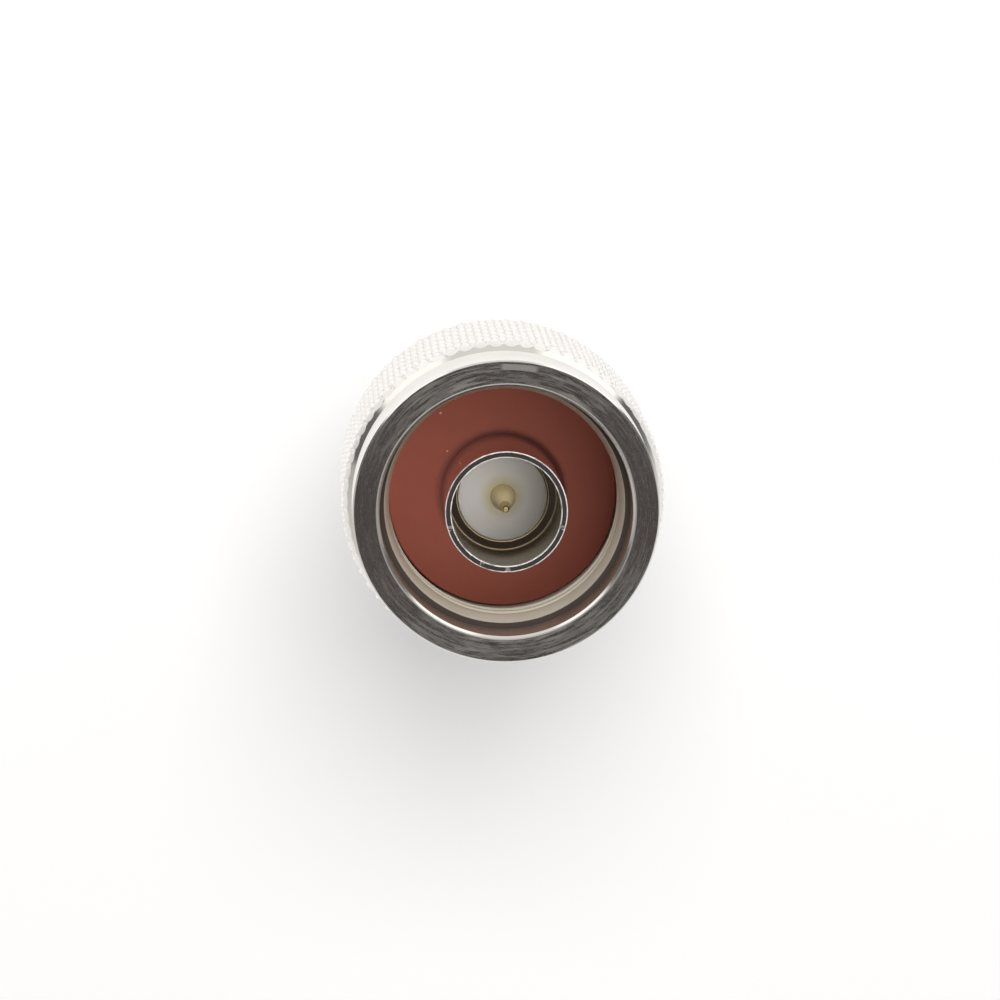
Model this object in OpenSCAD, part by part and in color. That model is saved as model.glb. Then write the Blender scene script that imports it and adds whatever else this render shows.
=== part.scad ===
// Coaxial cable plug with a threaded, knurled coupling nut, clamp type, for thin cable.
// The plug stands on the rear face of its clamp nut, with the mating end up.
// Z runs along the axis of the plug, and all sizes are in millimetres.

/* [Coupling nut] */
// Length of the coupling nut
nut_len = 15.2; // [13.6:0.1:16]
// Diameter of the smooth band at the front
band_d = 20.0; // [19.6:0.05:20.3]
// Length of the smooth band at the front
band_len = 4.0; // [3:0.1:5]
// Bevel on the outer edge of the front face
band_bevel = 0.1; // [0.05:0.05:0.5]
// Diameter over the points of the knurl
knurl_d = 21.4; // [21.1:0.1:22]
// Depth of the knurl from point to groove
knurl_depth = 0.35; // [0.25:0.05:0.6]
// Grooves round the nut in each hand of the knurl
knurl_count = 66; // [48:2:80]
// Angle between the grooves and the axis
knurl_angle = 30; // [25:1:40]
// Height of the low collar at each end of the knurl
knurl_collar = 0.3; // [0.2:0.05:0.5]
// Diameter of the mouth behind the front face
mouth_d = 16.2; // [16.1:0.05:16.6]
// Depth of the mouth down to the first turn of thread
mouth_depth = 2.45; // [2:0.05:3]
// Width of the bevel round the mouth, on the front face
mouth_bevel = 0.36; // [0.1:0.02:0.5]
// Depth of the corner groove at the bottom of the mouth
corner_depth = 0.1; // [0.05:0.01:0.2]
// Width of the corner groove along the axis
corner_width = 0.2; // [0.1:0.05:0.3]
// Width of the flat ledge between the corner groove and the lead-in of the thread
corner_ledge = 0.35; // [0.1:0.05:0.4]
// Inside diameter of the thread
thread_minor_d = 15.1; // [14.9:0.05:15.3]
// Length of the thread, with its lead-in
thread_len = 3.65; // [3:0.05:3.75]
// Diameter of the relief behind the thread
relief_d = 16.1; // [15.9:0.1:16.4]

/* [Outer contact] */
// Outside diameter of the ferrule
ferrule_d = 8.0; // [7.8:0.05:8.2]
// Wall of the ferrule
ferrule_wall = 0.42; // [0.3:0.02:0.6]
// Depth of the ferrule's rim behind the front face of the nut
rim_recess = 0.1; // [0:0.05:0.6]
// Depth from the rim to the face of the insulator
socket_depth = 5.6; // [4.5:0.1:6.2]

/* [Face gasket] */
// Outside diameter of the gasket
gasket_d = 15.2; // [15.1:0.1:15.6]
// Thickness of the gasket
gasket_t = 1.8; // [1.4:0.1:2]
// Depth of the gasket below the front face of the nut
gasket_depth = 6.95; // [6.6:0.05:7.3]
// Depth of the groove at the root of the ferrule that keeps the gasket in place
gasket_groove = 0.2; // [0.1:0.05:0.3]

/* [Body] */
// Diameter of the land that the coupling nut turns on
land_d = 14.7; // [14.4:0.05:14.75]
// Diameter of the barrel behind the coupling nut
barrel_d = 16.6; // [16.2:0.1:16.8]
// Distance across the two wrench flats
flats_af = 14.2; // [13.9:0.1:15]
// Length of the wrench flats
flats_len = 6.0; // [4:0.5:7]
// Distance from the rear end of the barrel to the flats
flats_start = 2.6; // [2:0.2:4]
// Bore of the rear thread that takes the clamp nut
rear_bore_d = 12.5; // [12.3:0.1:12.8]
// Bore of the chamber round the nose of the braid clamp
chamber_d = 9.4; // [9.1:0.1:10]
// Bore that holds the two insulators
insulator_bore_d = 8.4; // [8:0.1:8.8]
// Bore of the throat round the nose of the front insulator
throat_d = 6.0; // [5.6:0.1:6.4]
// Bevels on the outer edges of the body
body_bevel = 0.3; // [0.1:0.05:0.5]

/* [Retaining ring] */
// Outside diameter of the retaining ring
ring_d = 15.7; // [15.4:0.05:15.8]
// Radial width of the retaining ring
ring_width = 1.1; // [0.9:0.05:1.2]
// Thickness of the retaining ring
ring_t = 0.9; // [0.7:0.05:1]
// Width of the slot in the retaining ring
ring_slot = 2.8; // [2.4:0.1:4]
// Height of the ring above the rear face of the nut
ring_height = 3.0; // [2.6:0.1:3.2]
// Room for the ring to close in its groove in the body
ring_room = 0.5; // [0.4:0.05:0.7]

/* [Centre contact] */
// Diameter of the pin
pin_d = 1.6; // [1.4:0.05:1.8]
// Diameter of the pin's rounded tip
pin_tip_d = 0.44; // [0.3:0.02:0.6]
// Length of the pin's tapered point
pin_taper = 3.0; // [2:0.1:3.6]
// Depth of the tip below the rim of the ferrule
pin_set_back = 0.8; // [0.2:0.05:1.2]
// Diameter of the contact inside the front insulator
pin_seat_d = 2.0; // [1.8:0.05:2.2]
// Diameter of the contact's collar
collar_d = 3.2; // [3:0.1:4]
// Thickness of the contact's collar
collar_t = 0.8; // [0.5:0.1:1.2]
// Outside diameter of the solder cup
cup_d = 2.4; // [2.2:0.1:2.8]
// Length of the solder cup behind the collar
cup_len = 2.9; // [2.4:0.1:3.1]
// Bore of the solder cup
cup_bore_d = 1.0; // [0.9:0.05:1.2]
// Diameter of the hole in the side of the solder cup
cup_hole_d = 0.6; // [0.4:0.05:0.7]

/* [Insulators] */
// Length of the front insulator's nose, in the throat
front_nose_len = 4.0; // [3:0.1:5]
// Length of the front insulator's wide part
front_seat_len = 3.8; // [3.4:0.1:5]
// Length of the rear insulator
rear_insulator_len = 3.4; // [3.2:0.1:5]
// Bore of the rear insulator for the core of the cable
core_bore_d = 3.1; // [3:0.1:3.4]

/* [Cable clamp] */
// Distance across the flats of the clamp nut
hex_af = 12.7; // [12:0.1:13.6]
// Length of the clamp nut's hexagon
hex_len = 6.6; // [5:0.1:8]
// Length of the clamp nut's threaded shank
shank_len = 6.0; // [5:0.1:8]
// Diameter of the hole that the cable passes through
cable_hole_d = 5.6; // [5.3:0.1:6.2]
// Gap between the hexagon and the rear end of the body
clamp_gap = 0.5; // [0.2:0.1:1]
// Thickness of the washer
washer_t = 0.6; // [0.4:0.1:1]
// Thickness of the clamp gasket
clamp_gasket_t = 2.6; // [2:0.1:3.4]
// Depth of the groove in the clamp gasket
vee_depth = 0.9; // [0.6:0.1:1.2]
// Thickness of the braid clamp's flange
clamp_flange_t = 1.4; // [1:0.1:2]
// Length of the braid clamp's tapered nose
nose_len = 2.6; // [2:0.1:3.4]
// Diameter of the nose at the flange
nose_base_d = 8.4; // [8:0.1:8.6]
// Diameter of the nose at its end
nose_end_d = 6.6; // [6:0.1:7.4]
// Bore of the braid clamp
braid_bore_d = 3.8; // [3.6:0.1:4.2]
// Bore of the washer, the gasket and the clamp's rear, round the jacket
jacket_bore_d = 5.2; // [5:0.1:5.4]

/* [Fits] */
// Radial clearance of the coupling nut on the body
turn_clearance = 0.08; // [0.05:0.01:0.1]
// Axial play of the coupling nut
nut_float = 0.15; // [0.1:0.05:0.3]
// Radial clearance of the clamp nut in the body's thread
thread_clearance = 0.05; // [0.02:0.01:0.1]
// Radial clearance of the pieces that slide into the body
slip_clearance = 0.04; // [0.02:0.01:0.1]
// Radial clearance of the pieces inside the rear thread
stack_clearance = 0.25; // [0.2:0.05:0.4]

/* [Hidden] */
$fn = 96;
// Broken edge on the rings and on the solder cup
edge_break = 0.1;
// How far a cut runs past the surface that it opens
cut_past = 1;

NICKEL = [0.82, 0.80, 0.77];
SATIN_NICKEL = [0.68, 0.66, 0.62];
GOLD = [0.80, 0.63, 0.30];
BRONZE = [0.62, 0.45, 0.28];
PTFE = [0.92, 0.91, 0.88];
SILICONE = [0.60, 0.25, 0.18];
NEOPRENE = [0.13, 0.13, 0.13];

// Levels along the axis, added up from the rear face of the clamp nut
washer_z = hex_len + shank_len;
clamp_gasket_z = washer_z + washer_t;
clamp_flange_z = clamp_gasket_z + clamp_gasket_t;
step_z = clamp_flange_z + clamp_flange_t;
rear_insulator_z = step_z + nose_len;
front_insulator_z = rear_insulator_z + rear_insulator_len;
throat_z = front_insulator_z + front_seat_len;
socket_z = throat_z + front_nose_len;
rim_z = socket_z + socket_depth;
body_rear_z = hex_len + clamp_gap;

// Levels measured back from the front face of the coupling nut
nut_front_z = rim_z + rim_recess;
nut_rear_z = nut_front_z - nut_len;
shoulder_z = nut_rear_z - nut_float;
gasket_front_z = nut_front_z - gasket_depth;
seat_z = gasket_front_z - gasket_t;
ring_z = nut_rear_z + ring_height;
thread_top_z = nut_front_z - mouth_depth;
thread_end_z = thread_top_z - thread_len;

// Radii that follow from the fits
nut_bore_r = land_d / 2 + turn_clearance;
ring_groove_r = ring_d / 2 - ring_width - ring_room;
nut_groove_r = ring_d / 2 + stack_clearance;
stack_r = rear_bore_d / 2 - stack_clearance;
gasket_groove_r = ferrule_d / 2 - gasket_groove;
insulator_r = insulator_bore_d / 2 - slip_clearance;
vee_r = (jacket_bore_d / 2 + stack_r) / 2;

// Layout of the knurl: rows of points, each row half a pitch round from the last
knurl_low_z = nut_rear_z + knurl_collar;
knurl_high_z = nut_front_z - band_len - knurl_collar;
knurl_root_r = knurl_d / 2 - knurl_depth;
knurl_core_r = knurl_root_r - edge_break;
knurl_pitch = PI * knurl_d / knurl_count;
knurl_rows = round((knurl_high_z - knurl_low_z) * 2 * tan(knurl_angle) / knurl_pitch);
knurl_row_h = (knurl_high_z - knurl_low_z) / knurl_rows;

// Vertex i of a row: points and groove crossings take turns, and the end rows stay low
function knurl_vertex(row, i) =
    let (
        is_point = (i + row) % 2 == 0 && row > 0 && row < knurl_rows,
        r = is_point ? knurl_d / 2 : knurl_root_r,
        angle = i * 180 / knurl_count
    )
    [r * cos(angle), r * sin(angle), knurl_low_z + row * knurl_row_h];

// The two faces above and the two below the edge from a point to its neighbour
function knurl_faces(row, i) =
    let (
        n = 2 * knurl_count,
        here = row * n + i,
        next = row * n + (i + 1) % n,
        above = here + n,
        above_next = next + n
    )
    (i + row) % 2 == 0
        ? [[here, above, next], [next, above, above_next]]
        : [[here, above, above_next], [here, above_next, next]];

module knurled_barrel() {
    n = 2 * knurl_count;
    vertices = [for (row = [0 : knurl_rows]) for (i = [0 : n - 1]) knurl_vertex(row, i)];
    sides = [for (row = [0 : knurl_rows - 1]) for (i = [0 : n - 1]) each knurl_faces(row, i)];
    bottom = [[for (i = [0 : n - 1]) i]];
    top = [[for (i = [n - 1 : -1 : 0]) knurl_rows * n + i]];
    polyhedron(vertices, concat(sides, bottom, top));
}

// A turned solid: the profile is a list of [radius, height] corners
module turned(profile) {
    rotate_extrude() polygon(profile);
}

// Corners of a plain ring's section, with a small bevel on each outer edge
function ring_section(inner_r, outer_r, low_z, high_z, bevel = edge_break) = [
    [inner_r, low_z],
    [outer_r - bevel, low_z],
    [outer_r, low_z + bevel],
    [outer_r, high_z - bevel],
    [outer_r - bevel, high_z],
    [inner_r, high_z],
];

module nut_outside() {
    band_end_z = nut_front_z - band_len;
    turned([
        [0, nut_rear_z],
        [knurl_core_r - knurl_collar, nut_rear_z],
        [knurl_core_r, knurl_low_z],
        [knurl_core_r, band_end_z],
        [band_d / 2, band_end_z],
        [band_d / 2, nut_front_z - band_bevel],
        [band_d / 2 - band_bevel, nut_front_z],
        [0, nut_front_z],
    ]);
}

module nut_inside() {
    bevel_end_z = nut_front_z - mouth_bevel;
    corner_r = mouth_d / 2 + corner_depth;
    thread_r = thread_minor_d / 2;
    ledge_z = thread_top_z - corner_width;
    ledge_r = corner_r - corner_ledge;
    groove_low_z = ring_z - nut_float;
    groove_high_z = ring_z + ring_t + nut_float;
    lip_z = seat_z - 3 * nut_float;
    below_z = nut_rear_z - cut_past;
    above_z = nut_front_z + cut_past;
    turned([
        [0, below_z],
        [nut_bore_r + body_bevel + cut_past, below_z],
        [nut_bore_r, nut_rear_z + body_bevel],
        [nut_bore_r, groove_low_z],
        [nut_groove_r, groove_low_z],
        [nut_groove_r, groove_high_z],
        [nut_bore_r, groove_high_z],
        [nut_bore_r, lip_z],
        [relief_d / 2, lip_z],
        [relief_d / 2, thread_end_z],
        [thread_r, thread_end_z],
        [thread_r, ledge_z - (ledge_r - thread_r) / 2],
        [ledge_r, ledge_z],
        [corner_r, ledge_z],
        [corner_r, thread_top_z],
        [mouth_d / 2, thread_top_z],
        [mouth_d / 2, bevel_end_z],
        [mouth_d / 2 + mouth_bevel, nut_front_z],
        [mouth_d / 2 + mouth_bevel, above_z],
        [0, above_z],
    ]);
}

module coupling_nut() {
    color(NICKEL)
    difference() {
        union() {
            nut_outside();
            knurled_barrel();
        }
        nut_inside();
    }
}

module body_outside() {
    rim_bevel = ferrule_wall / 4;
    barrel_r = barrel_d / 2;
    land_r = land_d / 2;
    groove_high_z = ring_z + ring_t + nut_float;
    turned([
        [0, body_rear_z],
        [barrel_r - body_bevel, body_rear_z],
        [barrel_r, body_rear_z + body_bevel],
        [barrel_r, shoulder_z - body_bevel],
        [barrel_r - body_bevel, shoulder_z],
        [land_r, shoulder_z],
        [land_r, ring_z],
        [ring_groove_r, ring_z],
        [ring_groove_r, groove_high_z],
        [land_r, groove_high_z],
        [land_r, seat_z],
        [gasket_groove_r, seat_z],
        [gasket_groove_r, gasket_front_z],
        [ferrule_d / 2, gasket_front_z],
        [ferrule_d / 2, rim_z - rim_bevel],
        [ferrule_d / 2 - rim_bevel, rim_z],
        [0, rim_z],
    ]);
}

module body_inside() {
    ferrule_bore_r = ferrule_d / 2 - ferrule_wall;
    rim_bevel = ferrule_wall / 4;
    turned([
        [0, body_rear_z - cut_past],
        [rear_bore_d / 2 + body_bevel + cut_past, body_rear_z - cut_past],
        [rear_bore_d / 2, body_rear_z + body_bevel],
        [rear_bore_d / 2, step_z],
        [chamber_d / 2, step_z],
        [chamber_d / 2, rear_insulator_z],
        [insulator_bore_d / 2, rear_insulator_z],
        [insulator_bore_d / 2, throat_z],
        [throat_d / 2, throat_z],
        [throat_d / 2, socket_z],
        [ferrule_bore_r, socket_z],
        [ferrule_bore_r, rim_z - rim_bevel],
        [ferrule_bore_r + rim_bevel, rim_z],
        [ferrule_bore_r + rim_bevel, rim_z + cut_past],
        [0, rim_z + cut_past],
    ]);
}

module plug_body() {
    flats_z = body_rear_z + flats_start;
    color(SATIN_NICKEL)
    difference() {
        body_outside();
        body_inside();
        for (side = [0, 180])
            rotate([0, 0, side])
            translate([flats_af / 2, -barrel_d / 2, flats_z])
            cube([barrel_d, barrel_d, flats_len]);
    }
}

module face_gasket() {
    color(SILICONE)
    turned(ring_section(gasket_groove_r + slip_clearance, gasket_d / 2, seat_z, gasket_front_z));
}

module retaining_ring() {
    color(BRONZE)
    difference() {
        turned(ring_section(ring_d / 2 - ring_width, ring_d / 2, ring_z, ring_z + ring_t));
        translate([0, -ring_slot / 2, ring_z - cut_past])
        cube([ring_d, ring_slot, ring_t + 2 * cut_past]);
    }
}

module centre_contact() {
    collar_top_z = front_insulator_z + collar_t;
    tip_z = rim_z - pin_set_back;
    tip_r = pin_tip_d / 2;
    cup_z = front_insulator_z - cup_len;
    color(GOLD)
    difference() {
        turned([
            [0, cup_z],
            [cup_d / 2 - edge_break, cup_z],
            [cup_d / 2, cup_z + edge_break],
            [cup_d / 2, front_insulator_z],
            [collar_d / 2, front_insulator_z],
            [collar_d / 2, collar_top_z],
            [pin_seat_d / 2, collar_top_z],
            [pin_seat_d / 2, socket_z],
            [pin_d / 2, socket_z],
            [pin_d / 2, tip_z - pin_taper],
            [tip_r, tip_z - tip_r],
            [tip_r * cos(45), tip_z - tip_r * (1 - sin(45))],
            [0, tip_z],
        ]);
        translate([0, 0, cup_z - cut_past])
        cylinder(d = cup_bore_d, h = cup_len);
        translate([0, 0, front_insulator_z - cut_past - cup_hole_d])
        rotate([0, 90, 0])
        cylinder(d = cup_hole_d, h = cup_d);
    }
}

module front_insulator() {
    nose_r = throat_d / 2 - slip_clearance;
    seat_bore_r = pin_seat_d / 2 + slip_clearance;
    recess_r = collar_d / 2 + slip_clearance;
    recess_top_z = front_insulator_z + collar_t;
    color(PTFE)
    turned([
        [recess_r, front_insulator_z],
        [insulator_r, front_insulator_z],
        [insulator_r, throat_z],
        [nose_r, throat_z],
        [nose_r, socket_z],
        [seat_bore_r, socket_z],
        [seat_bore_r, recess_top_z],
        [recess_r, recess_top_z],
    ]);
}

module rear_insulator() {
    cup_bore_r = cup_d / 2 + slip_clearance;
    core_top_z = front_insulator_z - cup_len - slip_clearance;
    color(PTFE)
    turned([
        [core_bore_d / 2, rear_insulator_z],
        [insulator_r, rear_insulator_z],
        [insulator_r, front_insulator_z],
        [cup_bore_r, front_insulator_z],
        [cup_bore_r, core_top_z],
        [core_bore_d / 2, core_top_z],
    ]);
}

module braid_clamp() {
    ridge_tip_z = clamp_flange_z - vee_depth + slip_clearance;
    jacket_end_z = clamp_flange_z + clamp_flange_t / 2;
    color(NICKEL)
    turned([
        [jacket_bore_d / 2, clamp_flange_z],
        [vee_r - vee_depth, clamp_flange_z],
        [vee_r, ridge_tip_z],
        [vee_r + vee_depth, clamp_flange_z],
        [stack_r, clamp_flange_z],
        [stack_r, step_z],
        [nose_base_d / 2, step_z],
        [nose_end_d / 2, rear_insulator_z],
        [braid_bore_d / 2, rear_insulator_z],
        [braid_bore_d / 2, jacket_end_z],
        [jacket_bore_d / 2, jacket_end_z],
    ]);
}

module clamp_gasket() {
    color(NEOPRENE)
    turned([
        [jacket_bore_d / 2, clamp_gasket_z],
        [stack_r, clamp_gasket_z],
        [stack_r, clamp_flange_z],
        [vee_r + vee_depth, clamp_flange_z],
        [vee_r, clamp_flange_z - vee_depth],
        [vee_r - vee_depth, clamp_flange_z],
        [jacket_bore_d / 2, clamp_flange_z],
    ]);
}

module clamp_washer() {
    color(SATIN_NICKEL)
    turned(ring_section(jacket_bore_d / 2, stack_r, washer_z, clamp_gasket_z));
}

module clamp_nut() {
    corner_r = hex_af / 2 / cos(30);
    corner_bevel = (corner_r - hex_af / 2) * tan(30);
    shank_r = rear_bore_d / 2 - thread_clearance;
    hole_r = cable_hole_d / 2;
    color(NICKEL)
    difference() {
        union() {
            intersection() {
                cylinder(r = corner_r, h = hex_len, $fn = 6);
                turned([
                    [0, 0],
                    [hex_af / 2, 0],
                    [corner_r, corner_bevel],
                    [corner_r, hex_len - corner_bevel],
                    [hex_af / 2, hex_len],
                    [0, hex_len],
                ]);
            }
            turned([
                [0, hex_len / 2],
                [shank_r - body_bevel, hex_len / 2],
                [shank_r - body_bevel, hex_len + clamp_gap],
                [shank_r, hex_len + clamp_gap],
                [shank_r, washer_z - body_bevel],
                [shank_r - body_bevel, washer_z],
                [0, washer_z],
            ]);
        }
        translate([0, 0, -cut_past])
        cylinder(r = hole_r, h = washer_z + 2 * cut_past);
        turned([
            [0, -cut_past],
            [hole_r + body_bevel + cut_past, -cut_past],
            [hole_r, body_bevel],
            [0, body_bevel],
        ]);
    }
}

coupling_nut();
plug_body();
face_gasket();
retaining_ring();
centre_contact();
front_insulator();
rear_insulator();
braid_clamp();
clamp_gasket();
clamp_washer();
clamp_nut();
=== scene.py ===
"""Looks of a coaxial cable plug: a knurled coupling nut round a thin outer contact and a pin.

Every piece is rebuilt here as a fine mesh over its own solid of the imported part, in metres and
in the part's frame: the axis of the plug is Z, and the plug stands on its clamp nut.
Lengths in the dataclasses are millimetres, as a maker would write them.
"""

import logging
import math
from dataclasses import dataclass, field
from enum import Enum, IntEnum
from functools import cache
from typing import Callable, Optional, Sequence, Union

import bmesh
import bpy
import numpy as np
from mathutils import Matrix, Vector

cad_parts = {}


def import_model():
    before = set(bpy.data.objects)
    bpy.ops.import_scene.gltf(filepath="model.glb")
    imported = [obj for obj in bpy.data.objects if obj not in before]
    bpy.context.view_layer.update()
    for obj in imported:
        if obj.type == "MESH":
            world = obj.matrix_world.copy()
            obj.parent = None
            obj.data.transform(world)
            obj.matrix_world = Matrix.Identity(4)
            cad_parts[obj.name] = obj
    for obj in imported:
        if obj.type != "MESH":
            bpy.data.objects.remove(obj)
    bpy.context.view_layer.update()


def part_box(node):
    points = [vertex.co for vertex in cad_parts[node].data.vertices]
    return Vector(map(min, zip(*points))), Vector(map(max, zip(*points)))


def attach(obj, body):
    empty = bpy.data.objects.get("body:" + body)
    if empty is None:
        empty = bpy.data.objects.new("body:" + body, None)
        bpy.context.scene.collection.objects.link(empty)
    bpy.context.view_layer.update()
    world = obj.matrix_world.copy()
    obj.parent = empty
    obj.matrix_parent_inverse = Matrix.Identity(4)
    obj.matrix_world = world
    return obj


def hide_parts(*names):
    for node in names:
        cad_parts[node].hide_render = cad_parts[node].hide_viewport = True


LOG = logging.getLogger("plug")
MM = 0.001
FULL_TURN = 2 * math.pi

Ring = Union[float, np.ndarray]
Corner = tuple[float, float]
Colour = tuple[float, float, float]
Speck = tuple[float, float, float]
Texture = tuple[float, float, float]
Stops = Sequence[tuple[float, float]]
Piece = bpy.types.Object
Socket = bpy.types.NodeSocket


class Body(Enum):
    """The rigid bodies that pieces ride on."""

    PLUG = "plug"
    COUPLING = "coupling"


class Slot(Enum):
    """Material slots of the record."""

    BRIGHT_NICKEL = "bright_nickel"
    SATIN_NICKEL = "satin_nickel"
    GOLD = "gold_plate"
    BRONZE = "spring_bronze"
    SILICONE = "silicone"
    NEOPRENE = "neoprene"
    PTFE = "ptfe"


class Grain(Enum):
    """Whether a metal surface keeps the tool marks of a lathe."""

    TURNED = "turned"
    PLAIN = "plain"


class NutSkin(IntEnum):
    """Zones of the coupling nut, in the order of its finishes."""

    BAND = 0
    FACE = 1
    KNURL = 2
    BORE = 3
    THREAD = 4
    DULL = 5
    CORNER_SHADE = 6


class BodySkin(IntEnum):
    """Zones of the plug body, in the order of its finishes."""

    SATIN = 0
    POLISHED = 1
    BORE = 2
    WORN = 3
    BARE = 4


class PinSkin(IntEnum):
    """Zones of the centre contact, in the order of its finishes."""

    SHANK = 0
    NECK = 1
    TIP = 2


# Finishes


@dataclass(frozen=True)
class Marks:
    """Tool marks that run round the axis.

    They change at one rate around it and at another across, per mm, with some finer detail.
    """

    around: float
    across: float
    detail: float = 3.0
    rough: float = 0.6


class Wiring:
    """A small helper that adds and joins shader nodes."""

    def __init__(self, tree: bpy.types.NodeTree) -> None:
        """Takes over a node tree and empties it."""
        self.tree = tree
        tree.nodes.clear()

    def feed(self, target: Socket, value: object) -> None:
        """Gives a node's input its value.

        Args:
            target: the input.
            value: another node's output, a colour or a number.
        """
        if isinstance(value, bpy.types.NodeSocket):
            self.tree.links.new(value, target)
        else:
            target.default_value = (*value, 1) if target.type == "RGBA" else value

    def add(self, kind: str, feeds: Optional[dict] = None, **settings: object) -> bpy.types.Node:
        """Adds a node.

        Args:
            kind: Blender's name for the node, without its prefix.
            feeds: what goes into its inputs, by their name or number.
            **settings: properties to set on it.

        Returns:
            The new node.
        """
        node = self.tree.nodes.new("ShaderNode" + kind)
        for key, value in settings.items():
            setattr(node, key, value)
        for key, value in (feeds or {}).items():
            self.feed(node.inputs[key], value)
        return node

    def math(self, operation: str, *inputs: object) -> Socket:
        """Returns the output of a Math node with these inputs."""
        return self.add("Math", dict(enumerate(inputs)), operation=operation).outputs[0]

    def ramp(self, source: Socket, stops: Stops) -> Socket:
        """Maps a value through a grey ramp.

        Args:
            source: the value.
            stops: (position, grey) pairs in rising order.

        Returns:
            The ramp's colour output.
        """
        node = self.add("ValToRGB", {0: source})
        elements = node.color_ramp.elements
        while len(elements) < len(stops):
            elements.new(0.5)
        for element, (place, grey) in zip(elements, stops):
            element.position = place
            element.color = (grey, grey, grey, 1)
        return node.outputs[0]

    def mix(self, share: Socket, first: object, second: object, kind: str = "RGBA") -> Socket:
        """Blends from the first value to the second, as colours or, with kind FLOAT, as numbers."""
        return self.add("Mix", {"Factor": share, "A": first, "B": second}, data_type=kind).outputs["Result"]

    def noise(self, vector: Socket, scale: float, detail: float, rough: float) -> Socket:
        """Returns the grey value of a noise texture."""
        feeds = {"Vector": vector, "Scale": scale, "Detail": detail, "Roughness": rough}
        return self.add("TexNoise", feeds).outputs["Fac"]

    def place(self) -> Socket:
        """Returns the place on the object, in metres."""
        return self.add("TexCoord").outputs["Object"]

    def polar(self) -> tuple[Socket, Socket, Socket, Socket]:
        """Works out where a place lies round the axis.

        Returns:
            The radius and the height in mm, and the cosine and sine of the angle.
        """
        x, y, z = self.add("SeparateXYZ", {0: self.place()}).outputs
        squares = self.math("ADD", self.math("MULTIPLY", x, x), self.math("MULTIPLY", y, y))
        radius = self.math("SQRT", squares)
        lengths = [self.math("MULTIPLY", length, 1 / MM) for length in (radius, z)]
        return (*lengths, self.math("DIVIDE", x, radius), self.math("DIVIDE", y, radius))

    def reach(self, radius: Socket, span: Corner) -> Socket:
        """Returns how far a radius lies between two others in mm, as 0 to 1."""
        return self.math("DIVIDE", self.math("SUBTRACT", radius, span[0]), span[1] - span[0])

    def marks(self, marks: Marks, across: Socket, cosine: Socket, sine: Socket) -> Socket:
        """Draws tool marks.

        Args:
            marks: what they look like.
            across: the coordinate in mm that they are fine along.
            cosine: cosine of the angle round the axis.
            sine: sine of the angle round the axis.

        Returns:
            Their grey value.
        """
        rates = ((cosine, marks.around), (sine, marks.around), (across, marks.across))
        parts = [self.math("MULTIPLY", part, rate) for part, rate in rates]
        vector = self.add("CombineXYZ", dict(enumerate(parts))).outputs[0]
        return self.noise(vector, 1.0, marks.detail, marks.rough)

    def surface(self, feeds: dict, relief: Optional[Socket] = None, relief_mm: float = 0.0) -> None:
        """Ends the tree in one surface.

        Args:
            feeds: inputs of the surface, by name.
            relief: a fine relief, as a grey value.
            relief_mm: how high it stands, in mm.
        """
        if relief is not None:
            bump = self.add("Bump", {"Distance": relief_mm * MM, "Height": relief})
            feeds["Normal"] = bump.outputs["Normal"]
        self.finish(self.add("BsdfPrincipled", feeds).outputs[0])

    def finish(self, shader: Socket) -> None:
        """Ends the tree in a material output."""
        self.add("OutputMaterial", {"Surface": shader})


class Finish:
    """A surface finish that is made into one Blender material on first use."""

    name: str

    def wire(self, wiring: Wiring) -> None:
        """Builds the finish's nodes."""
        raise NotImplementedError

    @cache
    def material(self) -> bpy.types.Material:
        """Makes the finish's material.

        Returns:
            The material, the same one each time.
        """
        material = bpy.data.materials.new(self.name)
        material.use_nodes = True
        self.wire(Wiring(material.node_tree))
        return material


@dataclass(frozen=True)
class TurnedMetal(Finish):
    """Plated metal with the tool marks of a lathe."""

    name: str
    colour: Colour
    roughness: float
    swing: float
    grain: Grain = Grain.TURNED
    marks: Marks = Marks(2.5, 14.0)
    mark_height_mm: float = 0.001
    stain: Colour = (0.55, 0.5, 0.42)
    stain_share: float = 0.15
    stain_scale: float = 420.0
    stain_detail: Corner = (3.0, 0.55)
    stain_range: Corner = (0.45, 0.75)
    metallic: float = 1.0

    def wire(self, wiring: Wiring) -> None:
        """Builds the plated metal: colour drift, uneven gloss and tool marks.

        Args:
            wiring: the material's nodes.
        """
        _, height, cosine, sine = wiring.polar()
        lines = wiring.marks(self.marks, height, cosine, sine)
        cloud = wiring.noise(wiring.place(), self.stain_scale, *self.stain_detail)
        clean, full = self.stain_range
        stained = wiring.ramp(cloud, [(clean, 0.0), (full, self.stain_share)])
        off = wiring.math("SUBTRACT", lines, 0.5)
        feeds = {
            "Metallic": self.metallic,
            "Base Color": wiring.mix(stained, self.colour, self.stain),
            "Roughness": wiring.math("MULTIPLY_ADD", off, 2 * self.swing, self.roughness),
        }
        relief = lines if self.grain is Grain.TURNED else None
        wiring.surface(feeds, relief, self.mark_height_mm)


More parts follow.
